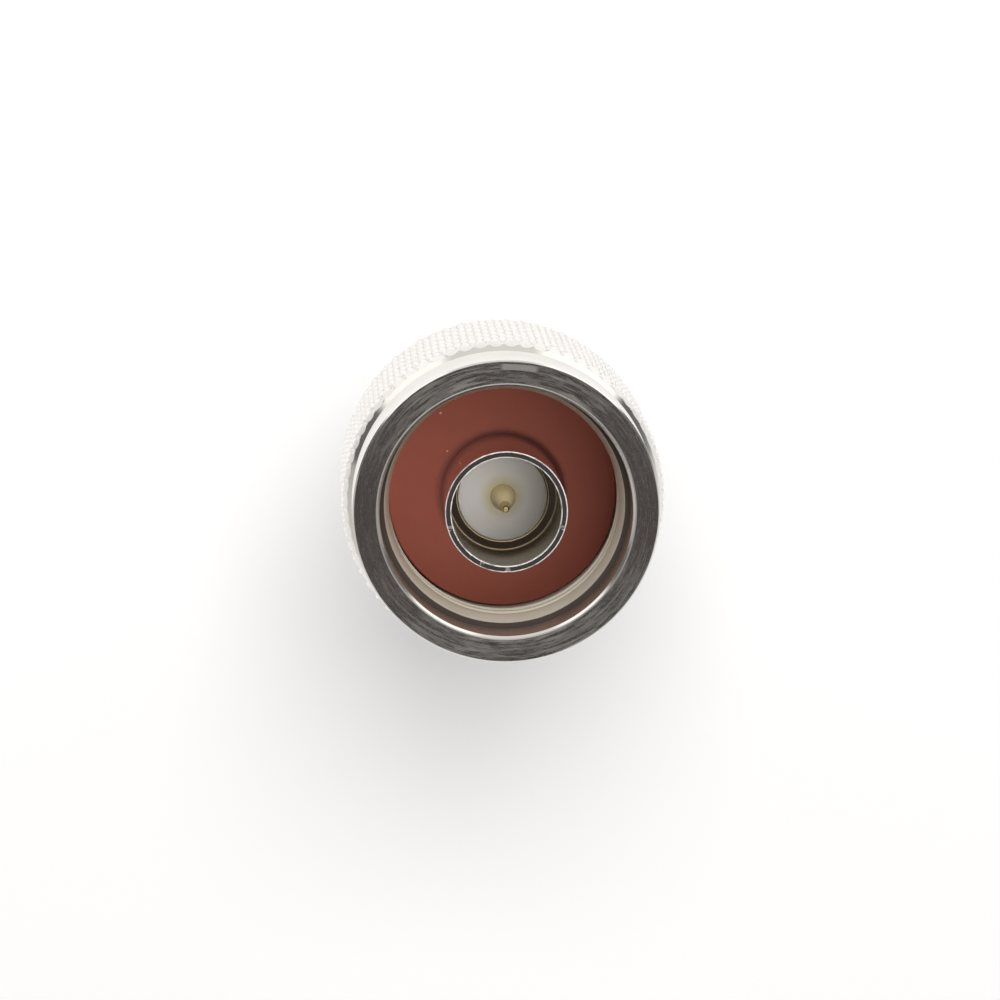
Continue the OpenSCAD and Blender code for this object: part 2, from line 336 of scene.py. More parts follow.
@dataclass(frozen=True)
class ScratchedFace(Finish):
    """A faced metal end with scratches that run round it and a worn patch."""

    name: str
    colour: Colour
    smooth: float = 0.2
    scratched: float = 0.75
    fine: Marks = Marks(7.0, 15.0)
    coarse: Marks = Marks(3.0, 6.0, 4.0, 0.7)
    clouds: Marks = Marks(2.2, 0.5, 2.0, 0.5)
    fine_share: float = 0.9
    fine_range: Corner = (0.5, 0.64)
    coarse_range: Corner = (0.46, 0.66)
    cloud_stops: Stops = ((0.3, 0.5), (0.6, 1.0))
    lay: Corner = (0.85, 0.05)
    mark_height_mm: float = 0.014
    patch_angle_deg: float = 85.0
    patch_half_deg: float = 8.0
    patch_radius_mm: float = 9.55
    patch_half_mm: float = 0.22
    patch_stops: Stops = ((0.75, 0.85), (1.0, 0.0))

    def wire(self, wiring: Wiring) -> None:
        """Builds the face: fine and coarse scratches, dull streaks and the worn patch.

        Args:
            wiring: the material's nodes.
        """
        radius, _, cosine, sine = wiring.polar()
        scales = (self.fine, self.coarse, self.clouds)
        fine, coarse, cloud = (wiring.marks(scale, radius, cosine, sine) for scale in scales)
        streaks = wiring.ramp(coarse, tuple(zip(self.coarse_range, (0.0, 1.0))))
        hairs = wiring.ramp(fine, tuple(zip(self.fine_range, (0.0, 1.0))))
        either = wiring.math("MAXIMUM", streaks, wiring.math("MULTIPLY", hairs, self.fine_share))
        # the lay of the marks shows most where they cross the light
        lay = wiring.math("MULTIPLY_ADD", wiring.math("ABSOLUTE", sine), *self.lay)
        share = wiring.math("MULTIPLY", either, lay)
        share = wiring.math("MULTIPLY", share, wiring.ramp(cloud, self.cloud_stops))
        share = wiring.math("MAXIMUM", share, self._patch(wiring, radius, cosine, sine))
        feeds = {
            "Metallic": 1.0,
            "Base Color": self.colour,
            "Roughness": wiring.mix(share, self.smooth, self.scratched, "FLOAT"),
        }
        wiring.surface(feeds, wiring.math("ADD", fine, coarse), self.mark_height_mm)

    def _patch(self, wiring: Wiring, radius: Socket, cosine: Socket, sine: Socket) -> Socket:
        """Works out how much of the worn patch shows at a place.

        Args:
            wiring: the material's nodes.
            radius: distance from the axis, in mm.
            cosine: cosine of the angle round the axis.
            sine: sine of the angle round the axis.

        Returns:
            The share, from 0 to 1.
        """
        middle, half = math.radians(self.patch_angle_deg), math.radians(self.patch_half_deg)
        reaches = []
        for at, centre, size in (
            (wiring.math("ARCTAN2", sine, cosine), middle, half),
            (radius, self.patch_radius_mm, self.patch_half_mm),
        ):
            off = wiring.math("ABSOLUTE", wiring.math("SUBTRACT", at, centre))
            reaches.append(wiring.math("DIVIDE", off, size))
        return wiring.ramp(wiring.math("MAXIMUM", *reaches), self.patch_stops)


@dataclass(frozen=True)
class Rubber(Finish):
    """Moulded rubber or silicone with a faint matte grain, specks of dust and a ring of painted shade."""

    name: str
    colour: Colour
    deep_colour: Colour
    roughness: float = 0.6
    mottle: Texture = (700.0, 4.0, 0.6)
    mottle_gloss: Corner = (0.15, 0.07)
    grain: Texture = (9000.0, 2.0, 0.5)
    grain_height_mm: float = 0.004
    specks: tuple[Speck, ...] = ()
    dust: Colour = (0.75, 0.45, 0.3)
    # a ring darkened with painted shade: its radii in mm, its colour and how dark it is across them
    painted_shade_mm: Optional[Corner] = None
    painted_shade: Colour = (0.05, 0.03, 0.03)
    painted_shade_stops: Stops = ((0.0, 0.6), (0.35, 0.5), (1.0, 0.0))

    def wire(self, wiring: Wiring) -> None:
        """Builds the rubber: a soft mottle, specks of dust, a ring of painted shade, a matte sheen and a fine
        grain.

        Args:
            wiring: the material's nodes.
        """
        place = wiring.place()
        x, y, _ = wiring.add("SeparateXYZ", {0: place}).outputs
        mottle = wiring.noise(place, *self.mottle)
        colour = wiring.mix(mottle, self.deep_colour, self.colour)
        flat = wiring.add("CombineXYZ", {0: x, 1: y}).outputs[0]
        for *centre, radius in self.specks:
            middle = (centre[0] * MM, centre[1] * MM, 0)
            away = wiring.add("VectorMath", {0: flat, 1: middle}, operation="DISTANCE")
            near = wiring.math("LESS_THAN", away.outputs["Value"], radius * MM)
            colour = wiring.mix(near, colour, self.dust)
        # painted shade: the ring round the inner edge is darkened where the ferrule's base shades the gasket
        if self.painted_shade_mm:
            reach = wiring.reach(wiring.polar()[0], self.painted_shade_mm)
            colour = wiring.mix(wiring.ramp(reach, self.painted_shade_stops), colour, self.painted_shade)
        swing, drop = self.mottle_gloss
        gloss = wiring.math("MULTIPLY_ADD", mottle, swing, self.roughness - drop)
        feeds = {"Base Color": colour, "Roughness": gloss}
        wiring.surface(feeds, wiring.noise(place, *self.grain), self.grain_height_mm)


@dataclass(frozen=True)
class Fluoropolymer(Finish):
    """White fluoropolymer: waxy, with light passing a little way into it, and a painted golden reflection of
    the pin round it.
    """

    name: str
    colour: Colour
    roughness: float = 0.38
    depth_mm: float = 0.6
    depth_share: float = 0.5
    depth_colours: Colour = (1.0, 0.9, 0.75)
    marks: Marks = Marks(1.5, 10.0, 2.0, 0.5)
    mark_shade: float = 0.93
    mark_gloss: Corner = (0.2, 0.1)
    mark_height_mm: float = 0.002
    # painted reflection: a golden glow of the gold pin on the polymer, by radius in mm
    painted_glow: Colour = (0.72, 0.62, 0.30)
    painted_glow_mm: Corner = (0.75, 1.6)
    painted_glow_stops: Stops = ((0.0, 0.85), (0.35, 0.5), (1.0, 0.0))

    def wire(self, wiring: Wiring) -> None:
        """Builds the polymer: scattering under a waxy skin with faint turning marks and a painted golden glow
        round the pin.

        Args:
            wiring: the material's nodes.
        """
        radius, _, cosine, sine = wiring.polar()
        lines = wiring.marks(self.marks, radius, cosine, sine)
        shaded = wiring.mix(lines, tuple(self.mark_shade * c for c in self.colour), self.colour)
        # painted reflection: gold light from the pin painted on the polymer close round it
        painted_glow_share = wiring.ramp(wiring.reach(radius, self.painted_glow_mm), self.painted_glow_stops)
        swing, drop = self.mark_gloss
        feeds = {
            "Subsurface Weight": self.depth_share,
            "Subsurface Radius": self.depth_colours,
            "Subsurface Scale": self.depth_mm * MM,
            "Base Color": wiring.mix(painted_glow_share, shaded, self.painted_glow),
            "Roughness": wiring.math("MULTIPLY_ADD", lines, swing, self.roughness - drop),
        }
        wiring.surface(feeds, lines, self.mark_height_mm)


@dataclass(frozen=True)
class Paper(Finish):
    """Pale matte paper, lifted a little for the camera and in reflections."""

    name: str
    colour: Colour
    lift: float
    roughness: float = 0.9
    gloss: float = 0.1

    def wire(self, wiring: Wiring) -> None:
        """Builds the paper and its lift.

        Args:
            wiring: the material's nodes.
        """
        feeds = {"Base Color": self.colour, "Roughness": self.roughness, "Specular IOR Level": self.gloss}
        shader = wiring.add("BsdfPrincipled", feeds)
        path = wiring.add("LightPath").outputs
        seen = wiring.math("MAXIMUM", path["Is Camera Ray"], path["Is Glossy Ray"])
        glow = wiring.add("Emission", {"Strength": wiring.math("MULTIPLY", seen, self.lift)})
        both = wiring.add("AddShader", {0: shader.outputs[0], 1: glow.outputs[0]})
        wiring.finish(both.outputs[0])


NICKEL = (0.82, 0.80, 0.76)
BRIGHT_BAND = TurnedMetal(
    "bright_nickel_band", NICKEL, 0.10, 0.05, marks=Marks(2.5, 9.0), mark_height_mm=0.0006
)
FACED_END = ScratchedFace("bright_nickel_faced", NICKEL)
KNURLED = TurnedMetal("bright_nickel_knurl", (0.96, 0.94, 0.91), 0.38, 0.06, Grain.PLAIN, stain_share=0.05)
INSIDE = TurnedMetal("bright_nickel_inside", NICKEL, 0.2, 0.08, marks=Marks(2.5, 12.0))
THREADED = TurnedMetal(
    "bright_nickel_thread", (0.86, 0.83, 0.70), 0.45, 0.1, marks=Marks(2.5, 12.0), metallic=0.35
)
# painted shade: the mouth wall inside the nut is painted darker and browner than the nickel; its blotches are
# stains
MOUTH_PAINTED_SHADE = TurnedMetal(
    "nickel_painted_mouth_shade",
    (0.5, 0.4, 0.33),
    0.3,
    0.1,
    marks=Marks(2.0, 8.0),
    stain=(0.2, 0.16, 0.12),
    stain_share=0.4,
    metallic=0.72,
)
# painted shade: the corner groove at the foot of the mouth, painted nearly black
PAINTED_CORNER_SHADE = TurnedMetal(
    "nickel_painted_corner_shade", (0.09, 0.07, 0.06), 0.5, 0.1, Grain.PLAIN, stain=(0.05, 0.04, 0.035), metallic=0.3
)
WORN_EDGE = TurnedMetal(
    "worn_bright_edge",
    (0.88, 0.87, 0.85),
    0.35,
    0.2,
    Grain.PLAIN,
    stain=(0.25, 0.22, 0.2),
    stain_share=1.0,
    stain_scale=1500.0,
    metallic=0.5,
)
BARE_BRASS = TurnedMetal(
    "bare_brass_edge", (0.52, 0.40, 0.22), 0.4, 0.1, Grain.PLAIN, stain_share=0.1, metallic=0.4
)
SATIN = TurnedMetal(
    "satin_nickel_turned", (0.72, 0.70, 0.66), 0.28, 0.1, marks=Marks(2.5, 12.0), mark_height_mm=0.0015
)
# painted shade: the bore of the ferrule is painted darker and browner than its outside
BORE_PAINTED_SHADE = TurnedMetal("satin_nickel_bore_painted_shade", (0.46, 0.41, 0.34), 0.2, 0.08, marks=Marks(2.5, 10.0))
POLISHED = TurnedMetal(
    "satin_nickel_ferrule", NICKEL, 0.09, 0.05, marks=Marks(2.5, 10.0), mark_height_mm=0.0004
)
GOLD = TurnedMetal(
    "gold_plated_pin",
    (0.93, 0.77, 0.42),
    0.2,
    0.06,
    marks=Marks(2.0, 16.0),
    mark_height_mm=0.0006,
    stain=(0.6, 0.42, 0.2),
)
DULL_GOLD = TurnedMetal(
    "gold_plated_pin_worn",
    (0.84, 0.69, 0.38),
    0.5,
    0.1,
    marks=Marks(2.0, 16.0),
    mark_height_mm=0.0006,
    stain=(0.85, 0.68, 0.38),
    metallic=0.1,
)
# painted reflection: the neck of the pin's point is painted brown for the dark reflection along it
GOLD_PAINTED_DARK_REFLECTION = TurnedMetal(
    "gold_plated_pin_painted_dark_reflection", (0.62, 0.45, 0.2), 0.4, 0.1, Grain.PLAIN, stain=(0.3, 0.2, 0.1), metallic=0.5
)
BRONZE = TurnedMetal("spring_bronze_ring", (0.62, 0.45, 0.28), 0.3, 0.08)
RED_SILICONE = Rubber(
    "red_silicone",
    (0.45, 0.128, 0.084),
    (0.40, 0.108, 0.073),
    specks=((-4.06, 5.43, 0.08), (-3.62, 2.86, 0.06)),
    # painted shade round the base of the ferrule, from 3.95 to 4.5 mm
    painted_shade_mm=(3.95, 4.5),
)
BLACK_RUBBER = Rubber("black_rubber", (0.03, 0.03, 0.03), (0.015, 0.015, 0.015))
WHITE_PTFE = Fluoropolymer("white_ptfe", (0.97, 0.94, 0.885))
FLOOR_PAPER = Paper("floor_paper", (0.78, 0.775, 0.775), 0.29)


# Profiles and meshes

NEARLY_STRAIGHT = math.radians(2)
LONGEST_CUT = 0.4
HOLD_OF_CUT, HOLD_OF_EDGE = 0.5, 0.05


def softened(corners: Sequence[Corner], radius: float, closed: bool = True, steps: int = 4) -> list[Corner]:
    """Rounds the corners of a turned profile and holds the flats beside them.

    Args:
        corners: (radius, height) points of the profile, in mm.
        radius: fillet radius, in mm; short edges get a smaller one.
        closed: whether the last point joins the first.
        steps: facets in each fillet.

    Returns:
        The rounded profile, in mm.
    """
    points = [np.array(c, float) for c in corners]
    last = len(points) - 1
    result: list[Corner] = []
    for i, here in enumerate(points):
        if not closed and i in (0, last):
            result.append((here[0], here[1]))
            continue
        ways = [points[i - 1] - here, points[(i + 1) % len(points)] - here]
        reaches = [np.linalg.norm(way) for way in ways]
        to_before, to_after = (way / reach for way, reach in zip(ways, reaches))
        turn = math.pi - math.acos(float(np.clip(to_before @ to_after, -1, 1)))
        if turn < NEARLY_STRAIGHT:
            result.append((here[0], here[1]))
            continue
        cut = min(radius * math.tan(turn / 2), *(LONGEST_CUT * reach for reach in reaches))
        hold = min(HOLD_OF_CUT * cut, HOLD_OF_EDGE * min(reaches))
        start, end = here + to_before * cut, here + to_after * cut
        arc = [start + to_before * hold]
        for k in range(steps + 1):
            t = k / steps
            arc.append((1 - t) ** 2 * start + 2 * t * (1 - t) * here + t**2 * end)
        arc.append(end + to_after * hold)
        result.extend((float(p[0]), float(p[1])) for p in arc)
    return result


def stepped(*turns: float) -> list[Corner]:
    """Lays out a stepped profile.

    Args:
        *turns: a radius, a height, the next radius, the next height and so on, in mm.

    Returns:
        The corners; each differs from the last in its radius or its height alone.
    """
    return [(turns[i + i % 2], turns[i + 1 - i % 2]) for i in range(len(turns) - 1)]


@dataclass(frozen=True)
class Extent:
    """The lowest and highest level of a CAD node and its reach along X and Y, in mm."""

    low: float
    high: float
    x: float
    y: float

    @classmethod
    def of(cls, node: str) -> "Extent":
        """Returns the extent of a node."""
        low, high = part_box(node)
        return cls(low.z / MM, high.z / MM, high.x / MM, high.y / MM)


class TurnedMesh:
    """A solid built from rings of points round the Z axis."""

    def __init__(self, angles: np.ndarray) -> None:
        """Starts an empty mesh whose rings have a point at each angle, in radians.

        Args:
            angles: angle of each point of a ring, in radians.
        """
        self.angles = angles
        self.count = len(angles)
        self.points: list[np.ndarray] = []
        self.faces: list[tuple[int, ...]] = []
        self.slots: list[int] = []
        self.total = 0

    @classmethod
    def even(cls, count: int) -> "TurnedMesh":
        """Returns a mesh whose rings have that many evenly spaced points."""
        return cls(np.arange(count) * FULL_TURN / count)

    def face(self, *corners: int, slot: int = 0) -> None:
        """Adds a face with these corners and material slot."""
        self.faces.append(corners)
        self.slots.append(slot)

    def ring(self, radius: Ring, height: Ring) -> int:
        """Adds a ring of points.

        Args:
            radius: distance from the axis in mm, one value or one for each angle.
            height: height in mm, one value or one for each angle.

        Returns:
            The index of the ring's first point.
        """
        r, z = (np.broadcast_to(np.asarray(part, float), (self.count,)) for part in (radius, height))
        self.points.append(np.stack([r * np.cos(self.angles), r * np.sin(self.angles), z], axis=1) * MM)
        self.total += self.count
        return self.total - self.count

    def band(self, low: int, high: int, slot: int = 0, whole: bool = True) -> None:
        """Joins two rings with quads.

        Args:
            low: first point of one ring.
            high: first point of the other.
            slot: material slot.
            whole: whether the band closes round the axis.
        """
        for i in range(self.count if whole else self.count - 1):
            j = (i + 1) % self.count
            self.face(low + i, low + j, high + j, high + i, slot=slot)

    def pole(self, ring: int, height: float, slot: int = 0) -> None:
        """Closes a ring with a fan to a point on the axis.

        Args:
            ring: first point of the ring.
            height: height of the point, in mm.
            slot: material slot.
        """
        self.points.append(np.array([[0.0, 0.0, height * MM]]))
        for i in range(self.count):
            self.face(ring + i, ring + (i + 1) % self.count, self.total, slot=slot)
        self.total += 1

    def sweep(self, profile: Sequence[tuple[Ring, Ring]], slot: int = 0, closed: bool = True) -> list[int]:
        """Turns a profile round the axis.

        Args:
            profile: (radius, height) of each ring, in mm.
            slot: material slot of the skin.
            closed: whether the last ring joins the first.

        Returns:
            The index of each ring's first point.
        """
        rings = self.skin(profile, lambda radius, height: slot)
        if closed:
            self.band(rings[-1], rings[0], slot)
        return rings

    def skin(self, profile: Sequence[tuple[Ring, Ring]], slot_at: Callable[[Ring, Ring], int]) -> list[int]:
        """Turns an open profile whose finish depends on the place.

        Args:
            profile: (radius, height) of each ring, in mm.
            slot_at: gives the material slot at a band's middle (radius, height).

        Returns:
            The index of each ring's first point.
        """
        rings = [self.ring(r, z) for r, z in profile]
        for low, high, here, after in zip(rings, rings[1:], profile, profile[1:]):
            self.band(low, high, slot_at((here[0] + after[0]) / 2, (here[1] + after[1]) / 2))
        return rings

    def build(self, name: str, finishes: Sequence[Finish], sharp_deg: float = 40.0) -> Piece:
        """Makes the Blender object.

        Args:
            name: name of the piece.
            finishes: its finishes, in the order of the slots used.
            sharp_deg: edges that turn by more than this stay crisp.

        Returns:
            The new object, linked to the scene.
        """
        mesh = bpy.data.meshes.new(name)
        mesh.from_pydata(np.concatenate(self.points), [], self.faces)
        mesh.polygons.foreach_set("material_index", np.array(self.slots, np.int32))
        for finish in finishes:
            mesh.materials.append(finish.material())
        mesh.polygons.foreach_set("use_smooth", np.ones(len(self.faces), bool))
        work = bmesh.new()
        work.from_mesh(mesh)
        bmesh.ops.recalc_face_normals(work, faces=work.faces)
        work.to_mesh(mesh)
        work.free()
        mesh.set_sharp_from_angle(angle=math.radians(sharp_deg))
        piece = bpy.data.objects.new(name, mesh)
        bpy.context.scene.collection.objects.link(piece)
        return piece


def settle(piece: Piece, node: str, slot: Slot, body: Body = Body.PLUG) -> Piece:
    """Puts a piece in place of its CAD node, on its body, and reports it.

    Args:
        piece: the dressed piece.
        node: the CAD node that it stands for.
        slot: the record's slot that its finish belongs to; not used.
        body: the body that it rides on.

    Returns:
        The same piece.
    """
    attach(piece, body.value)
    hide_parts(node)
    LOG.info("%s: %d faces on body %s", piece.name, len(piece.data.polygons), body.value)
    return piece


@dataclass(frozen=True)
class PlainPiece:
    """A plain turned or moulded ring: its node, name, finish, slot and edge rounding."""

    node: str
    name: str
    finish: Finish
    slot: Slot
    rounding: float = 0.08
    columns: int = 192

    def build(self, section: Sequence[Corner]) -> Piece:
        """Builds the piece from its section.

        Args:
            section: its (radius, height) corners, in mm.

        Returns:
            The dressed piece.
        """
        mesh = TurnedMesh.even(self.columns)
        mesh.sweep(softened(section, self.rounding))
        return settle(mesh.build(self.name, [self.finish]), self.node, self.slot)


# The coupling nut


@dataclass
class Knurl:
    """Diamond knurl: two families of grooves that cross and leave small pyramids."""

    count: int = 66
    depth: float = 0.35
    angle_deg: float = 30.0
    collar: float = 0.4
    collar_drop: float = 0.1
    steps: int = 4
    rear_fade: tuple[float, ...] = (0.1, 0.6, 0.9, 1.0)
    front_fade: tuple[float, ...] = (0.6, 0.9, 1.0)
    end_bevel: float = 0.27
    end_points: tuple[float, ...] = (-0.01, 0.0, 0.03, 0.1, 0.28)
    crest: tuple[float, ...] = (0.0, 0.45, 0.82, 1.0, 1.0)
    last_groove: float = 0.6
    last_setback: float = 0.7

    def to_grooves(self, column: int, row: int) -> tuple[int, int]:
        """Counts the columns between a grid point and a groove.

        Args:
            column: the grid point's column.
            row: its row.

        Returns:
            The distance to a groove of each family.
        """
        period = 2 * self.steps
        along, across = (column + row) % period, (column - row) % period
        return min(along, period - along), min(across, period - across)

    def height_at(self, column: int, row: int) -> float:
        """Returns how high the knurl stands at a grid point, from 0 in a groove to 1."""
        return self.crest[min(self.to_grooves(column, row))]

    def groove_leans_left(self, column: int, row: int) -> bool:
        """Tells which way a groove crosses a cell of the grid.

        Args:
            column: column of the cell's lower left corner.
            row: its row.

        Returns:
            Whether the groove runs from the right corner to the left.
        """
        period = 2 * self.steps
        if (column - row) % period == 0:
            return False
        along, across = self.to_grooves(column, row)
        return (column + row + 1) % period == 0 or along <= across

    def row(self, count: int, row: int, rows: int, root_r: float) -> tuple[np.ndarray, float]:
        """Works out one row of the knurl.

        Args:
            count: columns round the nut.
            row: number of the row, from the rear.
            rows: number of the last row.
            root_r: radius at the bottom of the grooves, in mm.

        Returns:
            The radius at each column in mm, and the share of the knurl's length behind the row.
        """
        heights = np.array([self.height_at(column, row) for column in range(count)])
        last = row == rows - 1
        if last:
            heights = np.maximum(heights, self.last_groove)
        fade = min(self.rear_fade[min(row, 3)], self.front_fade[min(rows - row, 3) - 1])
        return root_r + self.depth * np.minimum(heights, fade), row - self.last_setback * last

    def end_row(self, count: int, row: int) -> np.ndarray:
        """Returns how far each column of the last row stands out over the bevel, in mm."""
        return np.take(self.end_points, [min(self.to_grooves(column, row)) for column in range(count)])


@dataclass
class InsideThread:
    """Right-hand 24-per-inch thread cut into the nut."""

    minor_r: float = 7.57
    depth: float = 0.44
    pitch: float = 25.4 / 24
    mouth_share: float = 0.86
    root_share: float = 0.06
    rows_per_turn: int = 16
    run_out: float = 0.3
    run_in: float = 1.0

    def radius(self, angles: np.ndarray, height: float, low: float, high: float) -> np.ndarray:
        """Works out the thread's surface on one level.

        Args:
            angles: angles round the axis, in radians.
            height: level in mm.
            low: level in mm where the thread ends.
            high: level in mm where it starts.

        Returns:
            The radius at each angle, in mm.
        """
        turn = np.mod((height - low) / self.pitch - angles / FULL_TURN, 1.0)
        slope = (self.mouth_share - self.root_share) / 2
        cut = np.clip((self.mouth_share / 2 - np.abs(turn - 0.5)) / slope, 0, 1)
        cut = cut * cut * (3 - 2 * cut)
        run_out, run_in = self.run_out * self.pitch, self.run_in * self.pitch
        fade = min(1.0, (height - low) / run_out, (high - height) / run_in)
        return self.minor_r + self.depth * cut * max(0.0, fade)


@dataclass
class CouplingNut:
    """The knurled nut that screws the plug on to its socket."""

    node: str = "coupling_nut"
    band_r: float = 10.0
    band_len: float = 4.0
    band_bevel: float = 0.1
    band_bevel_share: float = 0.9
    mouth_r: float = 8.25
    mouth_depth: float = 2.45
    mouth_bevel: float = 0.24
    mouth_break: Corner = (0.15, 0.048)
    corner_depth: float = 0.1
    corner_width: float = 0.2
    ledge: float = 0.45
    ledge_slope: float = 0.15
    corner_shade_reach: float = 0.3
    lead_in_len: float = 1.0
    thread_len: float = 3.3
    relief_r: float = 7.78
    bore_r: float = 7.43
    lip_below_gasket: float = 0.45
    groove_r: float = 8.1
    groove_low: float = 2.85
    groove_high: float = 4.05
    rear_bevel: float = 0.3
    rounding: float = 0.03
    seam: float = 0.02
    hold: float = 0.012
    sharp_deg: float = 50.0
    knurl: Knurl = field(default_factory=Knurl)
    thread: InsideThread = field(default_factory=InsideThread)

    def build(self) -> Piece:
        """Builds the nut over its solid.

        Returns:
            The dressed piece.
        """
        reach = Extent.of(self.node)
        mesh = TurnedMesh.even(self.knurl.count * 2 * self.knurl.steps)
        outer = self._knurled_skin(mesh, reach)
        face = self._front(mesh, reach.high)
        inner = self._inside(mesh, reach)
        mesh.band(outer[1], face[0], NutSkin.BAND)
        mesh.band(face[-1], inner[0], NutSkin.DULL)
        mesh.band(inner[-1], outer[0], NutSkin.BORE)
        finishes = [BRIGHT_BAND, FACED_END, KNURLED, INSIDE, THREADED, MOUTH_PAINTED_SHADE, PAINTED_CORNER_SHADE]
        piece = mesh.build("coupling_nut_shell", finishes, self.sharp_deg)
        return settle(piece, self.node, Slot.BRIGHT_NICKEL, Body.COUPLING)

    def _knurled_skin(self, mesh: TurnedMesh, reach: Extent) -> tuple[int, int]:
        """Builds the rear bevel, the knurl and the shoulder up to the band.

        Args:
            mesh: the mesh to add to.
            reach: extent of the nut's solid.

        Returns:
            The first and last ring.
        """
        knurl = self.knurl
        root_r = reach.x - knurl.depth
        end_r = self.band_r + knurl.end_bevel
        low = reach.low + knurl.collar
        high = reach.high - self.band_len - knurl.end_bevel
        pitch = FULL_TURN * reach.x / knurl.count
        half_rows = round((high - low) * 2 * math.tan(math.radians(knurl.angle_deg)) / pitch)
        rows = half_rows * knurl.steps
        first = mesh.ring(root_r - knurl.collar_drop - knurl.collar, reach.low)
        previous = mesh.ring(root_r - knurl.collar_drop, low - self.seam)
        mesh.band(first, previous, NutSkin.BORE)
        for row in range(rows + 1):
            radius, place = knurl.row(mesh.count, row, rows, root_r)
            level = low + (high - low) * place / rows
            if row == rows:
                points = knurl.end_row(mesh.count, row)
                radius, level = end_r + points, high - points
            ring = mesh.ring(radius, level)
            if row == 0:
                mesh.band(previous, ring, NutSkin.KNURL)
            else:
                self._knurl_band(mesh, previous, row - 1, rows)
            previous = ring
        edge = mesh.ring(end_r - self.hold, high + self.hold)
        last = mesh.ring(self.band_r + self.hold, reach.high - self.band_len - self.hold)
        mesh.band(previous, edge, NutSkin.BAND)
        mesh.band(edge, last, NutSkin.BAND)
        return first, last

    def _knurl_band(self, mesh: TurnedMesh, low: int, row: int, rows: int) -> None:
        """Joins two neighbouring rings of the knurl with triangles that follow its grooves.

        Args:
            mesh: the mesh to add to.
            low: first vertex of the lower ring, which the upper ring follows.
            row: row of the lower ring.
            rows: row of the knurl's front edge, which stands in points between the grooves.
        """
        knurl, high = self.knurl, low + mesh.count
        last = rows - row == 1
        for i in range(mesh.count):
            j = (i + 1) % mesh.count
            at_left = last and knurl.height_at(j, rows) == 0
            at_right = last and knurl.height_at(i, rows) == 0
            if at_left or (knurl.groove_leans_left(i, row) and not at_right):
                mesh.face(low + i, low + j, high + i, slot=NutSkin.KNURL)
                mesh.face(low + j, high + j, high + i, slot=NutSkin.KNURL)
            else:
                mesh.face(low + i, low + j, high + j, slot=NutSkin.KNURL)
                mesh.face(low + i, high + j, high + i, slot=NutSkin.KNURL)

    def _front(self, mesh: TurnedMesh, front: float) -> list[int]:
        """Builds the smooth band, the faced end and the bevel round the mouth.

        Args:
            mesh: the mesh to add to.
            front: level of the front face, in mm.

        Returns:
            The rings.
        """
        broken, drop = self.mouth_break
        profile = [
            (self.band_r, front - self.band_len),
            (self.band_r, front - self.band_bevel),
            (self.band_r - self.band_bevel, front),
            (self.mouth_r + self.mouth_bevel, front),
            (self.mouth_r + broken, front - drop),
            (self.mouth_r, front - broken - drop),
            (self.mouth_r, front - self.mouth_depth + self.seam),
        ]

        def zone(radius: float, height: float) -> NutSkin:
            """Picks the finish of a band.

            Args:
                radius: radius of a band's middle, in mm.
                height: its height, in mm.

            Returns:
                Its zone.
            """
            if radius > self.band_r - self.band_bevel_share * self.band_bevel:
                return NutSkin.BAND
            if radius > self.mouth_r + self.mouth_bevel + self.seam / 2:
                return NutSkin.FACE
            # the mouth wall below the bevel takes the finish with painted shade
            return NutSkin.BORE if radius > self.mouth_r + self.seam else NutSkin.DULL

        return mesh.skin(softened(profile, self.rounding, closed=False), zone)

    def _inside(self, mesh: TurnedMesh, reach: Extent) -> list[int]:
        """Builds the corner groove, the thread, the relief and the rear bore.

        Args:
            mesh: the mesh to add to.
            reach: extent of the nut's solid.

        Returns:
            The rings.
        """
        thread, rear = self.thread, reach.low
        top = reach.high - self.mouth_depth
        corner_r = self.mouth_r + self.corner_depth
        ledge_r = corner_r - self.ledge
        ledge_z = top - self.corner_width - self.ledge_slope * self.ledge
        lip = Extent.of("face_gasket").low - self.lip_below_gasket
        start = [
            (self.mouth_r, top),
            (corner_r, top),
            (corner_r, top - self.corner_width),
            (ledge_r, ledge_z),
            (thread.minor_r, ledge_z - self.lead_in_len),
        ]
        profile = softened(start, self.rounding, closed=False, steps=2)
        high, low = profile[-1][1], top - self.thread_len
        rows = round((high - low) / thread.pitch * thread.rows_per_turn)
        for row in range(1, rows + 1):
            level = high + (low - high) * row / rows
            profile.append((thread.radius(mesh.angles, level, low, high), level))
        groove = (rear + self.groove_high, self.groove_r, rear + self.groove_low)
        profile.append((self.relief_r, low))
        profile += stepped(self.relief_r, lip, self.bore_r, *groove, self.bore_r, rear + self.rear_bevel)
        profile.append((self.bore_r + self.rear_bevel, rear))

        def zone(radius: Ring, height: float) -> NutSkin:
            """Picks the finish of a band.

            Args:
                radius: radius of a band's middle, in mm.
                height: its height, in mm.

            Returns:
                Its zone.
            """
            if height < lip:
                return NutSkin.BORE
            if height < high or radius < ledge_r:
                return NutSkin.THREAD
            # painted shade: the corner groove is painted nearly black, and the mouth wall above it darker and
            # browner
            return NutSkin.CORNER_SHADE if radius > corner_r - self.corner_shade_reach else NutSkin.DULL

        return mesh.skin(profile, zone)


# The body and what it holds


@dataclass(frozen=True)
class Nick:
    """A small dent in the rim of the ferrule."""

    angle_deg: float
    radius: float
    depth: float
    width_deg: float
    length: float


